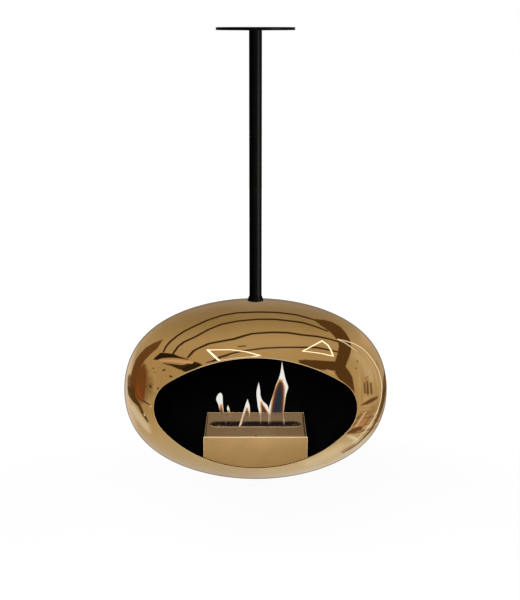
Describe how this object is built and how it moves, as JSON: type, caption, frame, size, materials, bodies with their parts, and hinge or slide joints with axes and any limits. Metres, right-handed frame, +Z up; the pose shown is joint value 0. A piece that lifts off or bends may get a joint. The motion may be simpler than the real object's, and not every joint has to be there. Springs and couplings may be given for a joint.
{
  "type": "hanging fireplace",
  "caption": "Oval polished cocoon with an open front, hung on a slim pole from a round ceiling plate; it swivels, and a slotted burner box with a sliding damper stands inside.",
  "frame": {"origin": "middle of the ceiling plate's upper face, which lies against the ceiling", "axes": "+Z up along the pole, -Y out of the cocoon's open front at rest, X across the cocoon's width"},
  "size_m": [0.6, 0.3745, 1.0129],
  "materials": {
    "gold_polish": "mirror-polished gold",
    "gold_satin": "satin gold, finely brushed",
    "black_paint": "satin black powder coat",
    "black_lining": "matt black heat-proof paint",
    "bare_steel": "zinc-plated steel",
    "stainless": "brushed stainless sheet",
    "bronze": "turned bronze",
    "rubber": "matt rubber",
    "ceramic_wool": "loose white mineral fibre"
  },
  "bodies": {
    "hanger": {"ceiling_plate": "black_paint", "pole_spigot": "bare_steel", "spigot_screw": "bare_steel", "pole_tube": "black_paint", "upper_grub_screws": "bare_steel", "lower_grub_screws": "bare_steel", "pole_collar": "black_paint", "swivel_spindle": "bare_steel", "thrust_washer": "bare_steel", "castle_nut": "bare_steel", "split_pin": "bare_steel"},
    "cocoon": {"outer_shell": "gold_polish", "inner_liner": "black_lining", "top_saddle": "black_lining", "swivel_bush": "bronze", "saddle_studs": "bare_steel", "saddle_nuts": "bare_steel", "cradle_rib_left": "black_lining", "cradle_rib_right": "black_lining", "burner_tray": "black_lining", "tray_screws": "bare_steel", "tray_nuts": "bare_steel"},
    "burner": {"burner_feet": "rubber", "burner_casing": "gold_satin", "burner_front_panel": "gold_satin", "panel_nuts": "bare_steel", "burner_top_plate": "gold_satin", "damper_rail_left": "stainless", "damper_rail_right": "stainless", "fuel_tank": "stainless", "tank_spacers": "stainless", "ceramic_wool": "ceramic_wool"},
    "damper": {"damper_plate": "stainless"}
  },
  "joints": [
    {"name": "cocoon_swivel", "type": "hinge", "parent": "hanger", "child": "cocoon", "pos_m": [0, 0, -0.6], "axis": [0, 0, 1], "continuous": true},
    {"name": "burner_lift", "type": "slide", "parent": "cocoon", "child": "burner", "axis": [0, 0, 1], "range_m": [0, 0.08]},
    {"name": "damper_slide", "type": "slide", "parent": "burner", "child": "damper", "axis": [0, 1, 0], "range_m": [0, 0.0319]}
  ]
}
